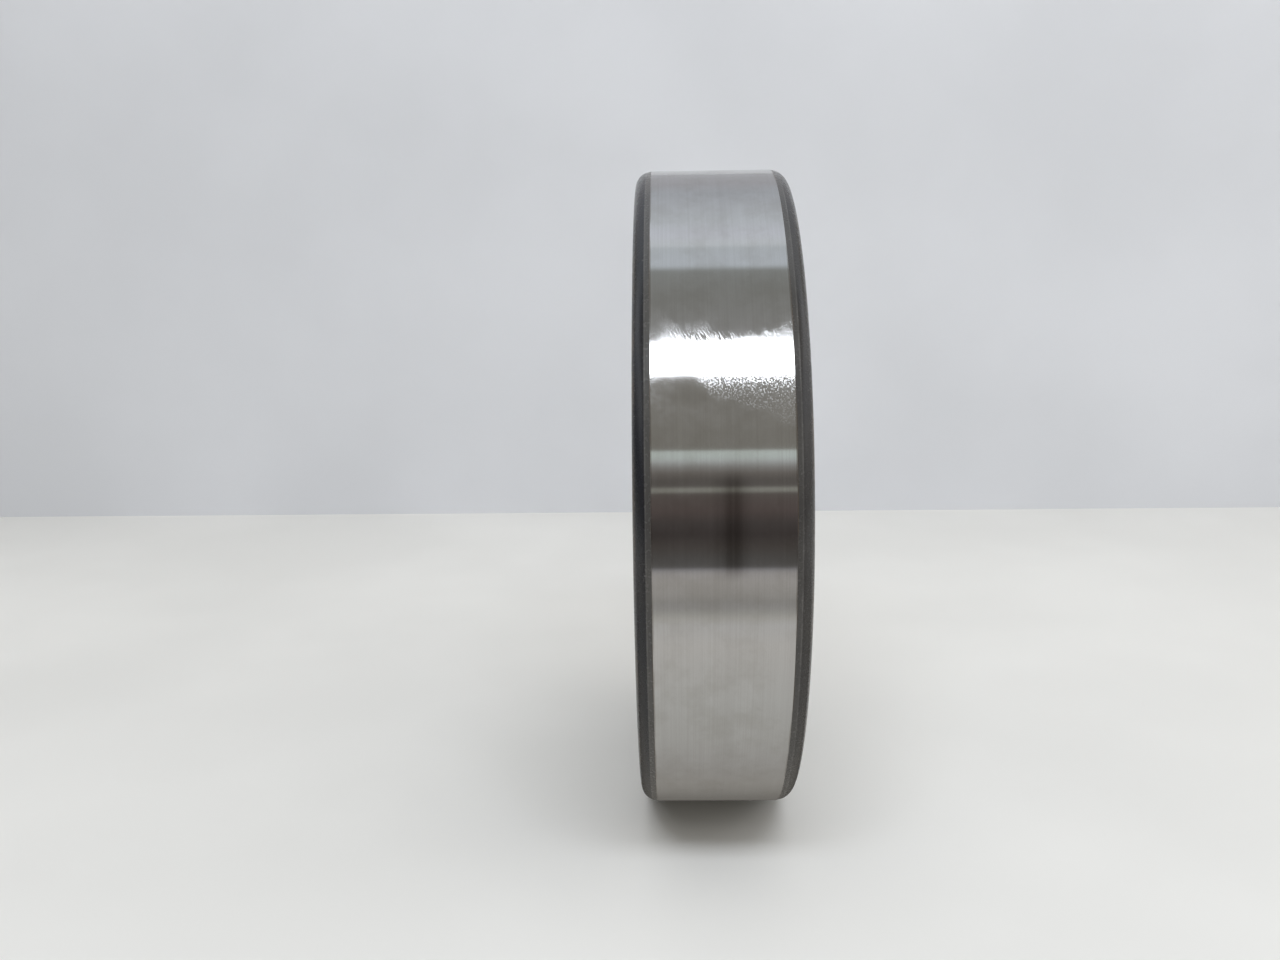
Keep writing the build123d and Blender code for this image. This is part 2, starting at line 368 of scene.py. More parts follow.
def pressedSheet(name, look):
    material, add = newMaterial(name)
    own = add("Attribute", attribute_name="ownPlace").outputs["Vector"]
    cloud = add("TexNoise", {"Vector": own, "Scale": 1000 / look["cloudMm"], "Detail": 5.0, "Roughness": 0.6})
    grain = add("TexNoise", {"Vector": own, "Scale": 1000 / look["grainMm"], "Detail": 2.0})
    rubbing = add("TexNoise", {"Vector": own, "Scale": 1000 / look["rubMm"], "Detail": 2.0})
    rubbing = add("MapRange", [rubbing, 0.35, 0.65, 0.2, 0.8], **smooth)
    rub = add("Math", [add("Attribute", attribute_name="edge").outputs["Fac"], rubbing], **times)
    patches = add("MapRange", [cloud, 0.35, 0.65], **smooth)
    colour = add("Mix", {0: patches, 6: look["colour"], 7: look["shade"]}, **colours)
    shader = add("BsdfPrincipled", {
        "Base Color": add("Mix", {0: rub, 6: colour, 7: look["rubbed"]}, **colours),
        "Metallic": 0.85,
        "Roughness": add("Math", [cloud, 0.16, look["roughness"]], **timesPlus),
        "Normal": add("Bump", {"Strength": 1.0, "Distance": mm(look["grainDepthMm"]), "Height": grain}),
    })
    add("OutputMaterial", {"Surface": shader})
    return material


# The rings' faces are ground flat, which leaves them greyer and less sharp than the rim.
faceSteel = groundSteel("ground face steel", {
    "colour": "#bdbdbc", "shade": "#94928f", "lineMm": 0.3, "lineLengthMm": 30, "lineDepthMm": 0.0012,
    "cloudMm": 12, "roughness": 0.24, "lineRoughness": 0.1, "filmRoughness": 0.06,
    "tint": 0.6, "anisotropy": 0.6,
})
# The raceways are honed after grinding, which leaves them bright.
raceSteel = groundSteel("honed raceway steel", {
    "colour": "#c9c9c8", "shade": "#a5a4a1", "lineMm": 0.2, "lineLengthMm": 80, "lineDepthMm": 0.0004,
    "cloudMm": 15, "roughness": 0.12, "lineRoughness": 0.06, "filmRoughness": 0.05,
    "tint": 0.5, "anisotropy": 0.5,
})
# The bore is ground a little coarser than the raceways.
boreSteel = groundSteel("ground bore steel", {
    "colour": "#c1c1c0", "shade": "#9a9895", "lineMm": 0.25, "lineLengthMm": 60, "lineDepthMm": 0.0008,
    "cloudMm": 12, "roughness": 0.18, "lineRoughness": 0.08, "filmRoughness": 0.05,
    "tint": 0.5, "anisotropy": 0.6,
})
# The rollers' barrels are superfinished, nearly to a mirror.
rollerSteel = groundSteel("superfinished roller steel", {
    "colour": "#cfcfcf", "shade": "#b3b3b2", "lineMm": 0.15, "lineLengthMm": 40, "lineDepthMm": 0.0002,
    "cloudMm": 6, "roughness": 0.08, "lineRoughness": 0.04, "filmRoughness": 0.05,
    "tint": 0.4, "anisotropy": 0.3,
})
# The rollers' ends are only ground, with rings that catch the light.
endSteel = groundSteel("ground roller end steel", {
    "colour": "#b9b9b8", "shade": "#8f8e8c", "lineMm": 0.2, "lineLengthMm": 12, "lineDepthMm": 0.001,
    "cloudMm": 5, "roughness": 0.22, "lineRoughness": 0.1, "filmRoughness": 0.05,
    "tint": 0.6, "anisotropy": 0.5,
})
# The guide ring is turned and left as it is, which makes it the darkest and dullest of the rings.
guideSteel = groundSteel("turned guide ring steel", {
    "colour": "#8b8a87", "shade": "#605f5d", "lineMm": 0.3, "lineLengthMm": 20, "lineDepthMm": 0.002,
    "cloudMm": 8, "roughness": 0.32, "lineRoughness": 0.1, "filmRoughness": 0.08,
    "tint": 0.7, "anisotropy": 0.4,
})
sheetSteel = pressedSheet("pressed cage sheet, nitrocarburised", sheetLook)


def roundedOutline(corners):
    # corners are (radius, axial, rounding) in order round a closed section. Each becomes an arc tangent to
    # its two sides: centre on the bisector at rounding / sin(half angle), from one tangent point to the other
    table = np.array(corners, float)
    place, rounding = table[:, :2], table[:, 2]
    back = np.roll(place, 1, 0) - place
    ahead = np.roll(place, -1, 0) - place
    back /= np.linalg.norm(back, axis=1)[:, None]
    ahead /= np.linalg.norm(ahead, axis=1)[:, None]
    half = np.arccos(np.clip((back * ahead).sum(1), -1, 1)) / 2
    outline = []
    for p, a, b, h, r in zip(place, back, ahead, half, rounding):
        if r == 0:
            outline.append(p[None])
            continue
        centre = p + (a + b) / np.linalg.norm(a + b) * r / sin(h)
        first, last = p + a * r / np.tan(h) - centre, p + b * r / np.tan(h) - centre
        sweep = pi - 2 * h
        t = np.linspace(0, 1, max(3, int(sweep / radians(9)) + 2))[:, None]
        outline.append(centre + (np.sin((1 - t) * sweep) * first + np.sin(t * sweep) * last) / sin(sweep))
    return withSupports(np.concatenate(outline), 0.2, 3.0)


def withSupports(outline, inset, longest):
    # a straight run gets a point just inside each end, so that shading stays flat along it
    made = []
    for p, q in zip(outline, np.roll(outline, -1, 0)):
        length = np.linalg.norm(q - p)
        made.append(p)
        if length > max(4 * inset, 1.0):
            steps = max(1, int(length / longest))
            for t in np.linspace(inset / length, 1 - inset / length, steps + 1):
                made.append(p + (q - p) * t)
    return np.array(made)


def lathePoints(outline, steps):
    # profile (r, y) carried round the axis: x = r sin a, y = y, z = r cos a
    a = np.linspace(0, 2 * pi, steps, endpoint=False)[:, None]
    r, y = outline[None, :, 0], outline[None, :, 1]
    return np.stack([r * np.sin(a), y + 0 * a, r * np.cos(a)], -1)


def closedRows(rows):
    # a grid with its first row again after its last
    return np.concatenate([rows, rows[:1]])


def gridFaces(grid):
    # the four corners of every square in a grid of point numbers or UVs
    four = np.stack([grid[:-1, :-1], grid[1:, :-1], grid[1:, 1:], grid[:-1, 1:]], 2)
    return four.reshape(-1, *four.shape[2:])


def turningUv(outline, radius, steps):
    # UVs in mm on a grid of (step, outline point): round the axis, and along the outline
    around = 2 * pi * radius / steps * np.arange(steps + 1)
    along = np.concatenate([[0], np.cumsum(np.linalg.norm(np.diff(outline, axis=0), axis=1))])
    return np.stack(np.meshgrid(around, along, indexing="ij"), -1)


def makePiece(body, points, own, quads, quadUv, finishes, materials, triangles=None, triangleUv=None):
    # points and own are in mm. The piece stands for the CAD node that has its body's name
    if triangles is None:
        triangles, triangleUv = np.zeros((0, 3), int), np.zeros((0, 3, 2))
    corner = points[quads]
    normal = np.cross(corner[:, 2] - corner[:, 0], corner[:, 3] - corner[:, 1])
    # the divergence theorem gives an inside-out surface a negative volume
    if (corner.mean(1) * normal).sum() < 0:
        quads, quadUv = quads[:, ::-1], quadUv[:, ::-1]
        triangles, triangleUv = triangles[:, ::-1], triangleUv[:, ::-1]
    name = body + "_finished"
    mesh = bpy.data.meshes.new(name)
    mesh.from_pydata((points / 1000).tolist(), [], quads.tolist() + triangles.tolist())
    layer = mesh.uv_layers.new(name="turning")
    uv = np.concatenate([quadUv.reshape(-1, 2), triangleUv.reshape(-1, 2)]) / 1000
    layer.data.foreach_set("uv", uv.astype(np.float32).ravel())
    held = mesh.attributes.new("ownPlace", "FLOAT_VECTOR", "POINT")
    held.data.foreach_set("vector", (own / 1000).astype(np.float32).ravel())
    for material in materials:
        mesh.materials.append(material)
    mesh.polygons.foreach_set("material_index", np.asarray(finishes, np.int32))
    mesh.polygons.foreach_set("use_smooth", np.ones(len(mesh.polygons), bool))
    mesh.update()
    piece = bpy.data.objects.new(name, mesh)
    bpy.context.scene.collection.objects.link(piece)
    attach(piece, body)
    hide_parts(body)
    return piece


def makeRing(body, outline, steps, finishAt, materials):
    # a closed section swept right round, so that its faces join up both ways
    closed = closedRows(outline)
    numbers = np.arange(steps * len(outline)).reshape(steps, -1)
    numbers = closedRows(closedRows(numbers).T).T
    points = lathePoints(outline, steps).reshape(-1, 3)
    quadUv = gridFaces(turningUv(closed, outline[:, 0].max(), steps))
    finishes = np.tile(finishAt((closed[:-1] + closed[1:]) / 2), steps)
    makePiece(body, points, points, gridFaces(numbers), quadUv, finishes, materials)


# Sizes that several pieces share, in mm. The overall size comes from the model.
bearing = {
    "boreRadius": 42.5,
    "pitchShift": 0.75,
    "rollersPerRow": 18,
    "rollerGap": 3.27,
    "rowGap": 5.2,
    "endSetback": 3.4,
    "raceClearance": 0.1,
    "outerFlatness": 1.3,
    "innerFlatness": 2.5,
}

rimLow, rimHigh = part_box("outer_ring")
outerRadius = (rimHigh.z - rimLow.z) * 1000 / 2
halfWidth = (rimHigh.y - rimLow.y) * 1000 / 2
rowStep = 2 * pi / bearing["rollersPerRow"]
pitchRadius = (bearing["boreRadius"] + outerRadius) / 2 + bearing["pitchShift"]
rollerRadius = pitchRadius * sin(rowStep / 2) - bearing["rollerGap"] / 2
innerEnd, outerEnd = bearing["rowGap"] / 2, halfWidth - bearing["endSetback"]
rowCentre = (innerEnd + outerEnd) / 2
contact = atan2(rowCentre, pitchRadius)  # the contact angle, to the middle of the roller
rollerLength = (outerEnd - innerEnd) / cos(contact)
centreDistance = pitchRadius / cos(contact)
sphereRadius = centreDistance + rollerRadius + bearing["raceClearance"]
barrelRadius = sphereRadius - bearing["outerFlatness"]
innerRaceRadius = barrelRadius + bearing["innerFlatness"]
innerArc = centreDistance - rollerRadius - bearing["raceClearance"] + innerRaceRadius


def innerRace(y):
    # the right raceway's radius at an axial place: an arc whose centre lies out along the contact line
    return innerArc * cos(contact) - np.sqrt(innerRaceRadius**2 - (y - innerArc * sin(contact)) ** 2)


def sectionPoint(along, out):
    # a point given along the right roller's axis and outward across it, as (radius, axial)
    radius = pitchRadius - along * sin(contact) + out * cos(contact)
    return radius, rowCentre + along * cos(contact) + out * sin(contact)


def outAt(radius, along):
    # how far outward across the roller's axis a line at that place along it reaches a radius
    return (radius - pitchRadius + along * sin(contact)) / cos(contact)


outerRing = {
    "cornerRadius": 4.0,
    "cornerLength": 2.95,
    "leadInLength": 1.3,
    "leadInDepth": 0.33,
    "leadInBlend": 0.4,
    "raceChamfer": 1.0,
    "edgeBreak": 0.15,
    "cornerSteps": 15,
    "raceSteps": 28,
    "steps": 720,
}


def makeOuterRing():
    o = outerRing
    ridge = halfWidth - o["cornerLength"]
    land = ridge - o["leadInLength"]
    shoulder = outerRadius - o["leadInDepth"]
    # the rounding starts aslant at the ridge and ends level with the face
    start = asin(1 - o["cornerLength"] / o["cornerRadius"])
    turn = np.linspace(start, pi / 2, o["cornerSteps"])
    drop, rise = o["cornerRadius"] * (np.cos(turn) - cos(start)), o["cornerRadius"] * (np.sin(turn) - 1)
    corner = np.stack([shoulder + drop, halfWidth + rise, 0 * turn], 1).tolist()
    raceEdge = halfWidth - o["raceChamfer"]
    edgeRadius = sqrt(sphereRadius**2 - raceEdge**2)
    chamfer = [
        (edgeRadius + o["raceChamfer"], halfWidth, o["edgeBreak"]),
        (edgeRadius, raceEdge, o["edgeBreak"]),
    ]
    right = [(outerRadius, land, o["leadInBlend"])] + corner + chamfer
    # the raceway's own points stop just short of its chamfers
    swing = asin(raceEdge / sphereRadius) * np.linspace(0.985, -0.985, o["raceSteps"])
    race = np.stack([sphereRadius * np.cos(swing), sphereRadius * np.sin(swing), 0 * swing], 1).tolist()
    left = [(r, -y, rounding) for r, y, rounding in reversed(right)]

    def finishAt(middle):
        # 0 rim, 1 scale, 2 face, 3 raceway
        r, station = middle[:, 0], abs(middle[:, 1])
        onCorner = (station > land) & (r > corner[-1][0])
        return np.select([r > outerRadius - 1e-4, onCorner, station > halfWidth - 0.02], [0, 1, 2], 3)

    makeRing("outer_ring", roundedOutline(right + race + left), o["steps"], finishAt, [
        rimSteel("ground rim steel, oiled", rimLook, land),
        blackScale("hardening scale on turned corner", scaleLook, ridge, land, halfWidth),
        faceSteel,
        raceSteel,
    ])


makeOuterRing()
print("outer ring made")


innerRing = {
    "boreCorner": 3.0,
    "landDepth": 0.3,
    "shoulderLength": 2.2,
    "shoulderRelief": 0.5,
    "shoulderChamfer": 1.0,
    "raceBreak": 0.08,
    "edgeBreak": 0.1,
    "raceSteps": 22,
    "steps": 480,
}
landRadius = float(innerRace(0)) - innerRing["landDepth"]
landEdge = innerArc * sin(contact) - sqrt(innerRaceRadius**2 - (innerArc * cos(contact) - landRadius) ** 2)
shoulderStart = halfWidth - innerRing["shoulderLength"]
raceTop = float(innerRace(shoulderStart))


def makeInnerRing():
    n = innerRing
    shoulder = raceTop - n["shoulderRelief"]
    # the raceway's own points stop just short of its two ends
    y = np.linspace(landEdge + 0.05, shoulderStart - 0.1, n["raceSteps"])
    right = np.stack([innerRace(y), y, 0 * y], 1).tolist() + [
        (raceTop, shoulderStart, n["raceBreak"]),
        (shoulder, shoulderStart, n["raceBreak"]),
        (shoulder, halfWidth - n["shoulderChamfer"], n["edgeBreak"]),
        (shoulder - n["shoulderChamfer"], halfWidth, n["edgeBreak"]),
        (bearing["boreRadius"], halfWidth, n["boreCorner"]),
    ]
    left = [(r, -y, rounding) for r, y, rounding in reversed(right)]

    def finishAt(middle):
        # 0 raceway and land, 1 face and corners, 2 bore
        r, station = middle[:, 0], abs(middle[:, 1])
        return np.select([r < bearing["boreRadius"] + 0.001, station < shoulderStart], [2, 0], 1)

    outline = roundedOutline(right + left)
    makeRing("inner_ring", outline, n["steps"], finishAt, [raceSteel, faceSteel, boreSteel])


# Each cage is a cone of pressed sheet with a window for each roller, bent in behind the rollers as a flange.
cage = {
    "thickness": 1.8,
    "offset": 4.2,  # from the roller axes out to the middle of the sheet
    "bendRadius": 1.2,
    "centreGap": 0.7,
    "sideClearance": 0.15,
    "endClearance": 0.3,
    "windowCorner": 0.8,
    "flangeGap": 0.5,
    "flangeBoreClearance": 1.6,
    "edgeBreak": 0.12,
    "frameBend": 75,  # how many degrees of the bend belong to the frames round the windows
    "sidePoints": 13,  # along each side of a window
    "rings": (0, 0.06, 0.45, 1),  # where the rows of points lie from a window to the edge of its pitch
    "flangeRows": 12,
}
cageInside = cage["offset"] - cage["thickness"] / 2
sheetBend = cage["bendRadius"] + cage["thickness"] / 2  # the bend's radius at the middle of the sheet
flangeAt = rollerLength / 2 + cage["flangeGap"] + cage["thickness"] / 2
bendStart = flangeAt - sheetBend

# The guide ring runs on the inner ring's land, under the rims of the cages.
guideRing = {"endClearance": 0.3, "boreClearance": 0.25, "rimClearance": 0.5, "edge": 0.3, "steps": 360}


def makeGuideRing():
    g = guideRing
    side = -(rollerLength / 2 + g["endClearance"])
    inside = landRadius + g["boreClearance"]
    outside = sectionPoint(-rollerLength / 2, cageInside)[0] - g["rimClearance"]
    low, high = sectionPoint(side, outAt(inside, side)), sectionPoint(side, outAt(outside, side))
    outline = roundedOutline([(*p, g["edge"]) for p in (low, high, (high[0], -high[1]), (low[0], -low[1]))])

    def finishAt(middle):
        return np.zeros(len(middle))

    makeRing("guide_ring", outline, g["steps"], finishAt, [guideSteel])


makeInnerRing()
makeGuideRing()
print("inner ring and guide ring made")


roller = {
    "corner": 1.0,
    "recessRadius": 3.5,
    "recessDepth": 0.5,
    "recessSteps": 7,
    "barrelSteps": 15,
    "steps": 96,
}


def rollerFrame(side, number):
    # the roller's centre, and the turn that takes its own X to outward and its own Y to its axis
    a = rowStep * (number + (0.5 if side < 0 else 0))
    radial, axial = np.array([sin(a), 0, cos(a)]), np.array([0, 1.0, 0])
    out = radial * cos(contact) + axial * side * sin(contact)
    along = axial * cos(contact) - radial * side * sin(contact)
    return radial * pitchRadius + axial * side * rowCentre, np.stack([out, along, np.cross(out, along)], 1)


def rollerOutline():
    # from the bottom of one end's recess, over the barrel's arc, to the other: each recess is a shallow bowl
    r = roller
    half = rollerLength / 2
    bowl = np.linspace(0, r["recessRadius"], r["recessSteps"])
    recess = np.stack([bowl, half - r["recessDepth"] * (1 - (bowl / r["recessRadius"]) ** 2)], 1)
    endRadius = rollerRadius - barrelRadius + sqrt(barrelRadius**2 - half**2)
    flatEdge = endRadius - r["corner"]
    flat = np.array([[r["recessRadius"] + 0.15, half], [flatEdge - 0.2, half], [flatEdge, half]])
    turn = np.linspace(pi / 2, 0, 8)[1:-1]
    corner = np.stack([flatEdge + r["corner"] * np.cos(turn), half - r["corner"] * (1 - np.sin(turn))], 1)
    y = np.linspace(half - r["corner"], 0, r["barrelSteps"])
    barrel = np.stack([rollerRadius - barrelRadius + np.sqrt(barrelRadius**2 - y**2), y], 1)
    top = np.concatenate([recess, flat, corner, barrel])
    return np.concatenate([top, top[-2::-1] * [1, -1]])


def makeRollers():
    # the outline is swept round its axis, and its two end points close the poles
    outline = rollerOutline()
    steps, inner = roller["steps"], len(outline) - 2
    sides = lathePoints(outline[1:-1], steps).reshape(-1, 3)
    own = np.concatenate([sides, [[0, outline[0, 1], 0], [0, outline[-1, 1], 0]]])
    numbers = closedRows(np.arange(steps * inner).reshape(steps, inner))
    uv = turningUv(outline, rollerRadius, steps)
    pole = (uv[:-1, [0, -1]] + uv[1:, [0, -1]]) / 2
    near, far = np.full(steps, steps * inner), np.full(steps, steps * inner + 1)
    triangles = np.concatenate([
        np.stack([numbers[1:, 0], numbers[:-1, 0], near], 1),
        np.stack([numbers[:-1, -1], numbers[1:, -1], far], 1),
    ])
    triangleUv = np.concatenate([
        np.stack([uv[1:, 1], uv[:-1, 1], pole[:, 0]], 1),
        np.stack([uv[:-1, -2], uv[1:, -2], pole[:, 1]], 1),
    ])
    # 0 barrel, 1 end
    r, station = outline[1:-1, 0], abs(outline[1:-1, 1])
    bottom = rollerLength / 2 - roller["recessDepth"]
    onEnd = (station > bottom - 0.01) & (r < rollerRadius - roller["corner"])
    finishes = np.concatenate([np.tile(onEnd[:-1] | onEnd[1:], steps), np.ones(2 * steps)])
    for row, side in (("left", -1), ("right", 1)):
        for number in range(bearing["rollersPerRow"]):
            centre, turn = rollerFrame(side, number)
            makePiece(f"roller_{row}_{number + 1:02d}", own @ turn.T + centre, own,
                      gridFaces(numbers), gridFaces(uv[:, 1:-1]), finishes, [rollerSteel, endSteel],
                      triangles, triangleUv)


makeRollers()
print("rollers made")


def cageProfile(path, lift):
    # the sheet's section: along the roller axes, round the bend, then down the flange. path is measured on
    # the middle of the sheet and lift is out from it. Gives the place along the roller's axis and out from it
    swing = np.clip((path - bendStart) / sheetBend, 0, pi / 2)
    down = np.maximum(path - bendStart - sheetBend * pi / 2, 0)
    along = np.minimum(path, bendStart) + (sheetBend + lift) * np.sin(swing)
    return along, cage["offset"] - sheetBend + (sheetBend + lift) * np.cos(swing) - down


def windowLoop(lift):
    # the rounded window's outline as (angle round the bearing, path): a point at t sideways on the sheet lies
    # at asin(t / r), and the sheet's curve moves it back along the roller's axis by r (1 - cos a) sin contact
    window = sectionPoint(rollerLength / 2, cageInside)[0]
    sink = window - sqrt(window**2 - rollerRadius**2)
    halfWide = sqrt(rollerRadius**2 - (cageInside - sink) ** 2) + cage["sideClearance"]
    halfLong, corner = rollerLength / 2 + cage["endClearance"], cage["windowCorner"]
    lean = np.linspace(pi / 4, 0, 4)
    sides = []
    for quarter in range(4):
        wide, tall = (halfWide, halfLong) if quarter % 2 == 0 else (halfLong, halfWide)
        # one side from the middle of one rounded corner to the middle of the next, seen with the side on top
        first = np.stack([-wide + corner - corner * np.sin(lean), tall - corner + corner * np.cos(lean)], 1)
        straight = np.linspace(-wide + corner, wide - corner, cage["sidePoints"] - 5)[1:-1]
        straight = np.stack([straight, tall + 0 * straight], 1)
        side = np.concatenate([first, straight, (first * [-1, 1])[::-1]])[:-1]
        for turn in range(quarter):
            side = np.stack([side[:, 1], -side[:, 0]], 1)
        sides.append(side)
    t, along = np.concatenate(sides).T
    # the section is looked up in a table of paths, and the place that the curve moves settles in a few rounds
    table = np.linspace(-12, 14, 2000)
    reach = cageProfile(table, lift)[0]
    place = along
    for again in range(4):
        path = np.interp(place, reach, table)
        r = sectionPoint(*cageProfile(path, lift))[0]
        place = along - (r - np.sqrt(r**2 - t**2)) * sin(contact)
    return np.stack([np.arcsin(t / r), path], 1)


def pitchPoints(lift):
    # one pitch of the sheet as (angle, path): a frame of rows from its window out to the edges of the pitch,
    # then the rest of the bend and the flange. Also gives 1 for a point on an edge of the sheet, 0 elsewhere
    n = cage["sidePoints"]
    start = (cage["centreGap"] / 2 - rowCentre - cageInside * sin(contact)) / cos(contact)
    frameEnd = bendStart + sheetBend * radians(cage["frameBend"])
    foot = outAt(raceTop + cage["flangeBoreClearance"], flangeAt + cage["thickness"] / 2)
    flangeEnd = bendStart + sheetBend * pi / 2 + cage["offset"] - sheetBend - foot
    across, down = np.linspace(-1, 1, n + 1) * rowStep / 2, np.linspace(frameEnd, start, n + 1)
    edge = np.concatenate([
        np.stack([across[:-1], frameEnd + 0 * across[:-1]], 1),
        np.stack([rowStep / 2 + 0 * down[:-1], down[:-1]], 1),
        np.stack([across[:0:-1], start + 0 * across[:0:-1]], 1),
        np.stack([-rowStep / 2 + 0 * down[:-1], down[:0:-1]], 1),
    ])
    loop = windowLoop(lift)
    around = loop + (edge - loop) * np.array(cage["rings"])[:, None, None]
    rows = frameEnd + (flangeEnd - frameEnd) * np.linspace(0, 1, cage["flangeRows"]) ** 1.3
    flange = np.stack(np.meshgrid(across, rows[1:], indexing="xy"), -1)
    onWindow, onFlange = np.zeros(around.shape[:2]), np.zeros(flange.shape[:2])
    onWindow[0] = onWindow[-1, 2 * n:3 * n + 1] = onFlange[-1] = 1
    worn = np.concatenate([onWindow.ravel(), onFlange.ravel()])
    return np.concatenate([around.reshape(-1, 2), flange.reshape(-1, 2)]), worn


def pitchFaces(inner):
    # one pitch's faces: its frame and flange on both sides of the sheet, and the walls round the window and
    # along the two rims. inner is how far on the inner side's points are
    n, rings = cage["sidePoints"], len(cage["rings"])
    frameGrid = closedRows(np.arange(rings * 4 * n).reshape(rings, 4 * n).T).T
    # the frame's own top edge is the flange's first row
    rows = rings * 4 * n + np.arange((n + 1) * (cage["flangeRows"] - 1)).reshape(-1, n + 1)
    flangeGrid = np.concatenate([frameGrid[-1:, :n + 1], rows])
    sheet = np.concatenate([gridFaces(frameGrid.T), gridFaces(flangeGrid.T)])
    walls = []
    for line, order in ((frameGrid[0], 1), (frameGrid[-1, 2 * n:3 * n + 1], -1), (flangeGrid[-1], -1)):
        a, b = line[:-1], line[1:]
        walls.append(np.stack([a, inner + a, inner + b, b], 1)[:, ::order])
    return np.concatenate([sheet, inner + sheet[:, ::-1], *walls])


def makeCage(row, side):
    numbers = np.arange(bearing["rollersPerRow"])[:, None]
    points, edges = [], []
    for lift in (cage["thickness"] / 2, -cage["thickness"] / 2):
        pitch, worn = pitchPoints(lift)
        r, y = sectionPoint(*cageProfile(pitch[:, 1], lift))
        a = pitch[:, 0] + rowStep * (numbers + (0.5 if side < 0 else 0))
        points.append(np.stack([r * np.sin(a), side * y + 0 * a, r * np.cos(a)], -1).reshape(-1, 3))
        edges.append(np.tile(worn, len(numbers)))
    quads = (numbers[:, :, None] * len(worn) + pitchFaces(len(points[0]))).reshape(-1, 4)
    # neighbouring pitches share the points on their common edge
    points = np.concatenate(points)
    first, where = np.unique(np.round(points, 4), axis=0, return_index=True, return_inverse=True)[1:]
    quads, points, edges = where.reshape(-1)[quads], points[first], np.concatenate(edges)[first]
    piece = makePiece(f"cage_{row}", points, points, quads, np.zeros((len(quads), 4, 2)),
                      np.zeros(len(quads)), [sheetSteel])
    held = piece.data.attributes.new("edge", "FLOAT", "POINT")
    held.data.foreach_set("value", edges.astype(np.float32))
    bevel = piece.modifiers.new("broken edges", "BEVEL")
    bevel.width, bevel.segments = mm(cage["edgeBreak"]), 2
    bevel.limit_method, bevel.angle_limit = "ANGLE", radians(50)


makeCage("left", -1)
makeCage("right", 1)
print("cages made")


stage = {
    "reach": 3000,
    "wallBehind": 341,
    "wallHeight": 215,
    "wallTurn": 0.4,
    "cloudMm": 160,
    "floor": "#eae9e5",
    "wall": "#e2e3e6",
    "room": "#fffbf0",
    "roomGlow": 0.125,
    "roomMirrored": 0.31,
    "backdrop": "#f9fafd",
    "backdropGlow": 0.66,
}


def stagePaper(name, colour, oneSided):
    # matt paper: no gloss, with a faint cloudiness
    material, add = newMaterial(name)
    place = add("TexCoord").outputs["Object"]
    cloud = add("TexNoise", {"Vector": place, "Scale": 1000 / stage["cloudMm"], "Detail": 3.0})
    cloud = add("MapRange", [cloud, 0.3, 0.7, 0.96, 1.03], **smooth)
    paper = add("BsdfDiffuse", {"Color": add("HueSaturation", {"Color": colour, "Value": cloud})})
    if oneSided:
        # only its front shows, so that it doesn't hide the bearing from behind
        back = add("NewGeometry").outputs["Backfacing"]
        paper = add("MixShader", [back, paper, add("BsdfTransparent")])
    add("OutputMaterial", {"Surface": paper})
    return material


def stageSheet(name, corners, material):
    mesh = bpy.data.meshes.new(name)
    mesh.from_pydata([tuple(mm(c) for c in corner) for corner in corners], [], [(0, 1, 2, 3)])
    layer = mesh.uv_layers.new(name="UVMap")
    layer.data.foreach_set("uv", [0, 0, 1, 0, 1, 1, 0, 1])
    mesh.materials.append(material)
    sheet = bpy.data.objects.new(name, mesh)
    bpy.context.scene.collection.objects.link(sheet)
    return sheet


def makeStage():
    s = stage
    far, ground, top = s["reach"], -outerRadius - 0.02, s["wallHeight"]
    floor = stagePaper("matt white paper floor", s["floor"], False)
    corners = [(-far, -far, ground), (far, -far, ground), (far, far, ground), (-far, far, ground)]
    stageSheet("floor", corners, floor)
    back, skew = -s["wallBehind"], far * np.tan(radians(s["wallTurn"]))
    feet = [(back - skew, -far, ground), (back + skew, far, ground)]
    tops = [(back + skew, far, top), (back - skew, -far, top)]
    stageSheet("wall", feet + tops, stagePaper("matt grey paper wall", s["wall"], True))
    world = bpy.data.worlds.new("soft room")
    bpy.context.scene.world = world
    world.use_nodes = True
    world.node_tree.nodes.clear()
    add = nodeAdder(world.node_tree)
    # a dim warm room lights the bearing, a little brighter where it is mirrored, behind a pale backdrop
    paths = add("LightPath").outputs
    strength = add("MapRange", [paths["Is Glossy Ray"], 0, 1, s["roomGlow"], s["roomMirrored"]], **smooth)
    room = add("Background", {"Color": s["room"], "Strength": strength})
    backdrop = add("Background", {"Color": s["backdrop"], "Strength": s["backdropGlow"]})
    add("OutputWorld", {"Surface": add("MixShader", [paths["Is Camera Ray"], room, backdrop])})


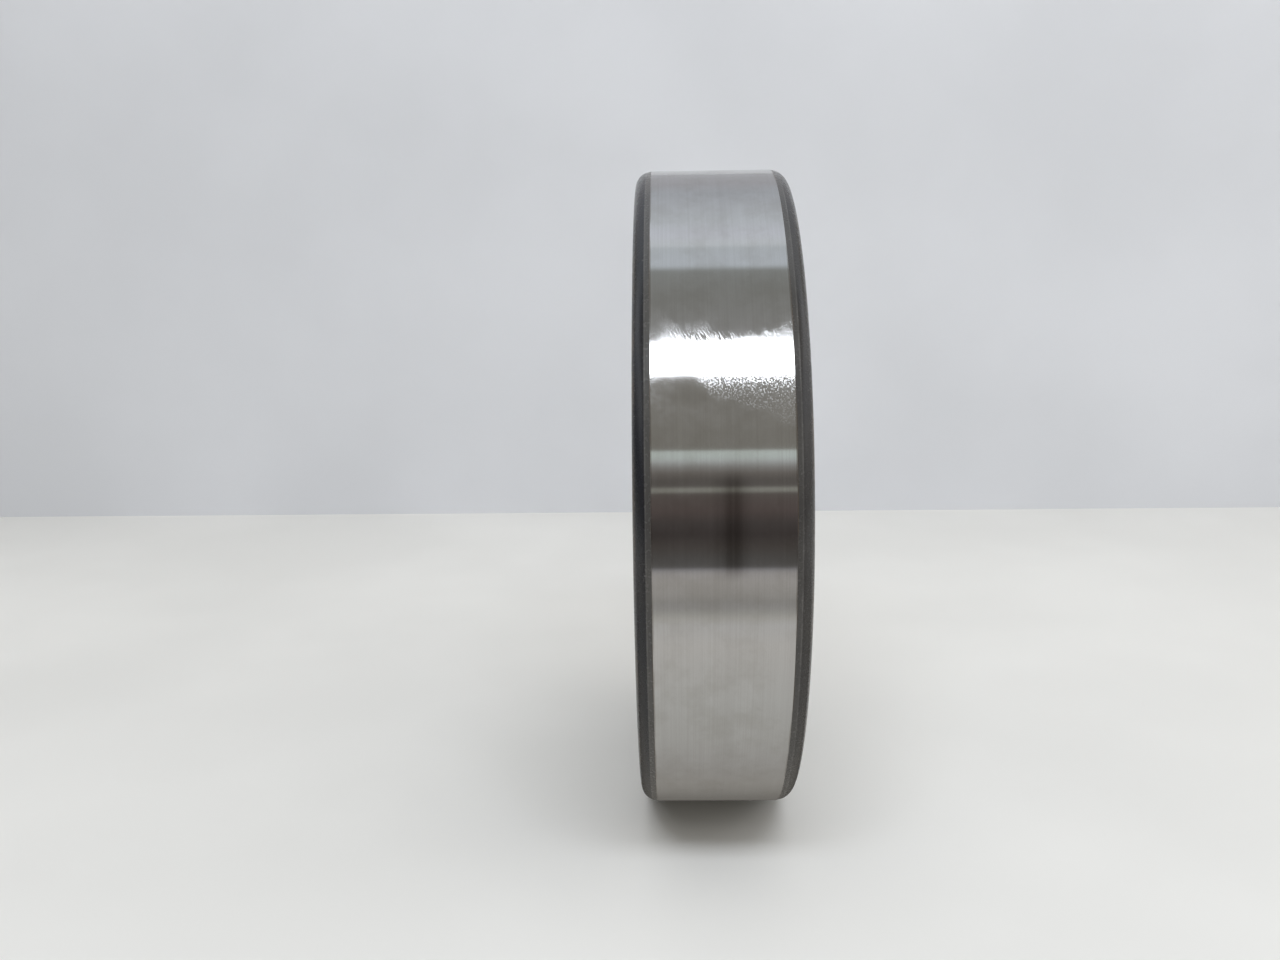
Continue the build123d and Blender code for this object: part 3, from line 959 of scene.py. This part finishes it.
# Everything that the polished rim mirrors. Lamps light the scene too, and cards only show in reflections.
# Angles are in degrees above the level, seen from the rim's front. A tone is a place along the card and its
# brightness in red, green and blue, where 1 is a white surface.
mirrored = {
    "watch": (75, 0, 47),
    "key": {"low": 49.2, "high": 60.6, "reach": 1000, "wide": 760, "glow": 12.0, "colour": "#f0f6ff"},
    "ceiling": {"height": 1100, "glow": 0.70, "wide": 3200, "from": -1800, "to": 1400, "aside": 300},
    "ceilingTones": [  # by x
        (-3000, (0.50, 0.51, 0.53)), (-1450, (0.505, 0.51, 0.54)), (-1000, (0.567, 0.60, 0.646)),
        (-740, (0.64, 0.675, 0.723)), (-450, (0.762, 0.813, 0.865)), (-285, (0.86, 0.90, 0.985)),
        (-170, (0.86, 0.918, 0.966)), (-140, (0.715, 0.775, 0.82)), (-60, (0.74, 0.80, 0.86)),
        (18, (0.75, 0.81, 0.87)), (44, (0.52, 0.56, 0.57)), (60, (0.38, 0.39, 0.385)),
    ],
    "fill": {"place": (500, 1500, 500), "size": 1200, "glow": 1.3},
    "upperCard": {"low": 63.5, "high": 91.6, "reach": 1500, "wide": 1600},
    "upperTones": [(0, (0.37, 0.37, 0.36)), (0.6, (0.335, 0.34, 0.325)), (1, (0.36, 0.375, 0.365))],
    # the dark shapes in front of the rim, by height: a reddish brown mass, a thin pale line and a bright top
    "frontCard": {"x": 420, "half": 300},
    "frontTones": [
        (-90, (0.14, 0.135, 0.13)), (-70, (0.125, 0.12, 0.115)), (-43, (0.102, 0.09, 0.083)),
        (-15, (0.074, 0.063, 0.06)), (9, (0.092, 0.08, 0.076)), (35, (0.138, 0.111, 0.104)),
        (69, (0.152, 0.13, 0.12)), (74, (0.154, 0.134, 0.124)), (76, (0.38, 0.38, 0.34)),
        (85, (0.38, 0.38, 0.34)),
        (87, (0.154, 0.14, 0.13)), (103, (0.156, 0.143, 0.132)), (118, (0.22, 0.2, 0.182)),
        (131, (0.34, 0.33, 0.315)), (140, (0.48, 0.49, 0.48)), (148, (0.64, 0.68, 0.67)),
        (156, (0.72, 0.8, 0.77)), (173, (0.76, 0.84, 0.80)),
    ],
    # a card on the floor that only the rim mirrors, with the floor's tones by distance: painted shade under
    # the ring near its contact, and painted shadows of the camera and of the dark shapes in front
    "shadeCard": {"half": 300, "lift": 0.3},
    "paintedFloorShadeTones": [
        (16, (0.08, 0.075, 0.07)), (35, (0.22, 0.21, 0.19)), (50, (0.40, 0.385, 0.355)),
        (65, (0.50, 0.49, 0.465)),
        (82, (0.583, 0.58, 0.55)), (110, (0.655, 0.655, 0.625)), (163, (0.72, 0.707, 0.674)),
        (195, (0.70, 0.696, 0.677)), (209, (0.61, 0.60, 0.56)), (222, (0.50, 0.495, 0.465)),
        (235, (0.44, 0.43, 0.415)), (250, (0.42, 0.41, 0.39)), (270, (0.48, 0.465, 0.44)),
        (325, (0.54, 0.52, 0.495)), (375, (0.52, 0.50, 0.49)), (398, (0.42, 0.41, 0.42)),
        (420, (0.22, 0.22, 0.23)),
    ],
    # bright sheets beside the bearing for the ring faces to mirror, leaning out towards their tops
    "sideCards": {"from": -500, "to": 900, "foot": (900, 40), "top": (1100, 900)},
    "leftTones": [
        (0, (0.2, 0.2, 0.21)), (0.2, (0.2, 0.2, 0.22)), (0.5, (0.9, 0.93, 0.98)), (1, (1.3, 1.33, 1.38)),
    ],
    "rightTones": [(0, (0.55, 0.54, 0.52)), (0.5, (1.1, 1.12, 1.15)), (1, (1.3, 1.33, 1.38))],
}


def rectangleAt(spec):
    # the middle and the rise of a rectangle that spans two angles as seen from the rim's front
    angles = radians(spec["low"]), radians(spec["high"])
    low, high = (Vector(mirrored["watch"]) + Vector((cos(a), 0, sin(a))) * spec["reach"] for a in angles)
    return (low + high) / 2, high - low


def addLamp(name, middle, rise, side, wide, glow, colour):
    # an area lamp's power is its brightness times pi times its area
    data = bpy.data.lights.new(name, "AREA")
    data.shape = "RECTANGLE"
    data.size, data.size_y = mm(wide), mm(rise.length)
    data.energy = glow * pi * data.size * data.size_y
    data.color = linearColour(colour)[:3]
    lamp = bpy.data.objects.new(name, data)
    bpy.context.scene.collection.objects.link(lamp)
    up, across = rise.normalized(), side.normalized()
    turn = Matrix((across, up, across.cross(up))).transposed().to_4x4()
    lamp.matrix_world = Matrix.Translation(middle / 1000) @ turn
    lamp.visible_camera = False
    return lamp


def addCard(name, corners, tones):
    # the corners start along the first tone's edge and end along the last one's
    material, add = newMaterial(name)
    up = add("SeparateXYZ", [add("TexCoord").outputs["UV"]]).outputs[1]
    ramp = add("ValToRGB", [up])
    stops, first, last = ramp.color_ramp.elements, tones[0][0], tones[-1][0]
    for place, glow in tones[1:-1]:
        stops.new((place - first) / (last - first))
    for stop, (place, glow) in zip(stops, tones):
        stop.color = (*glow, 1.0)
    add("OutputMaterial", {"Surface": add("Emission", {"Color": ramp})})
    sheet = stageSheet(name, corners, material)
    sheet.visible_camera = sheet.visible_diffuse = sheet.visible_shadow = sheet.visible_transmission = False


def makeLamps():
    key, ceiling, fill = mirrored["key"], mirrored["ceiling"], mirrored["fill"]
    middle, rise = rectangleAt(key)
    addLamp("key light", middle, rise, Vector((0, 1, 0)), key["wide"], key["glow"], key["colour"])
    # the ceiling is a lamp for matt surfaces and a card with its real tones for polished ones
    middle = Vector(((ceiling["from"] + ceiling["to"]) / 2, ceiling["aside"], ceiling["height"]))
    rise = Vector((ceiling["from"] - ceiling["to"], 0, 0))
    across = Vector((0, 1, 0))
    soft = [addLamp("ceiling light", middle, rise, across, ceiling["wide"], ceiling["glow"], "#ffffff")]
    place = Vector(fill["place"])
    facing = -place.normalized()
    side = facing.cross(Vector((0, 0, 1))).normalized()
    rise = side.cross(facing) * fill["size"]
    soft.append(addLamp("fill light", place, rise, side, fill["size"], fill["glow"], "#ffffff"))
    for lamp in soft:
        lamp.visible_glossy = False


def makeCards():
    m = mirrored
    wide, top = m["ceiling"]["wide"] / 2, m["ceiling"]["height"]
    low, high = m["ceilingTones"][0][0], m["ceilingTones"][-1][0]
    corners = [(low, -wide, top), (low, wide, top), (high, wide, top), (high, -wide, top)]
    addCard("ceiling card", corners, m["ceilingTones"])
    middle, rise = rectangleAt(m["upperCard"])
    across = Vector((0, m["upperCard"]["wide"] / 2, 0))
    foot, head = middle - rise / 2, middle + rise / 2
    addCard("upper card", [foot - across, foot + across, head + across, head - across], m["upperTones"])
    x, half = m["frontCard"]["x"], m["frontCard"]["half"]
    low, high = m["frontTones"][0][0], m["frontTones"][-1][0]
    corners = [(x, -half, low), (x, half, low), (x, half, high), (x, -half, high)]
    addCard("front card", corners, m["frontTones"])
    # the floor card holds painted shade and painted shadows, seen only in the rim's reflection
    z, half = -outerRadius + m["shadeCard"]["lift"], m["shadeCard"]["half"]
    near, far = m["paintedFloorShadeTones"][0][0], m["paintedFloorShadeTones"][-1][0]
    corners = [(near, -half, z), (near, half, z), (far, half, z), (far, -half, z)]
    addCard("painted floor shade card", corners, m["paintedFloorShadeTones"])
    start, end = m["sideCards"]["from"], m["sideCards"]["to"]
    (footY, footZ), (topY, topZ) = m["sideCards"]["foot"], m["sideCards"]["top"]
    for side, name in ((-1, "left"), (1, "right")):
        feet = [(start, side * footY, footZ), (end, side * footY, footZ)]
        tops = [(end, side * topY, topZ), (start, side * topY, topZ)]
        addCard(name + " side card", feet + tops, m[name + "Tones"])


# The camera's own values: where it stands, which way it is turned and dipped, its tilt and its lens.
cameraSet = {
    "place": (350.2, -11.8, 76.2),
    "turn": 91.48,
    "dip": 12.0,
    "tilt": -0.88,
    "lens": 34.1,
    "sensor": 36,
}


def makeCamera():
    c = cameraSet
    data = bpy.data.cameras.new("camera")
    data.lens, data.sensor_width, data.clip_start = c["lens"], c["sensor"], mm(10)
    camera = bpy.data.objects.new("camera", data)
    bpy.context.scene.collection.objects.link(camera)
    turn = Matrix.Rotation(radians(c["turn"]), 4, "Z") @ Matrix.Rotation(radians(90 - c["dip"]), 4, "X")
    turn = turn @ Matrix.Rotation(radians(c["tilt"]), 4, "Z")
    camera.matrix_world = Matrix.Translation(Vector(c["place"]) / 1000) @ turn
    bpy.context.scene.camera = camera


makeStage()
makeLamps()
makeCards()
makeCamera()
bpy.context.scene.view_settings.view_transform = "Standard"
print("stage, lights and camera set")
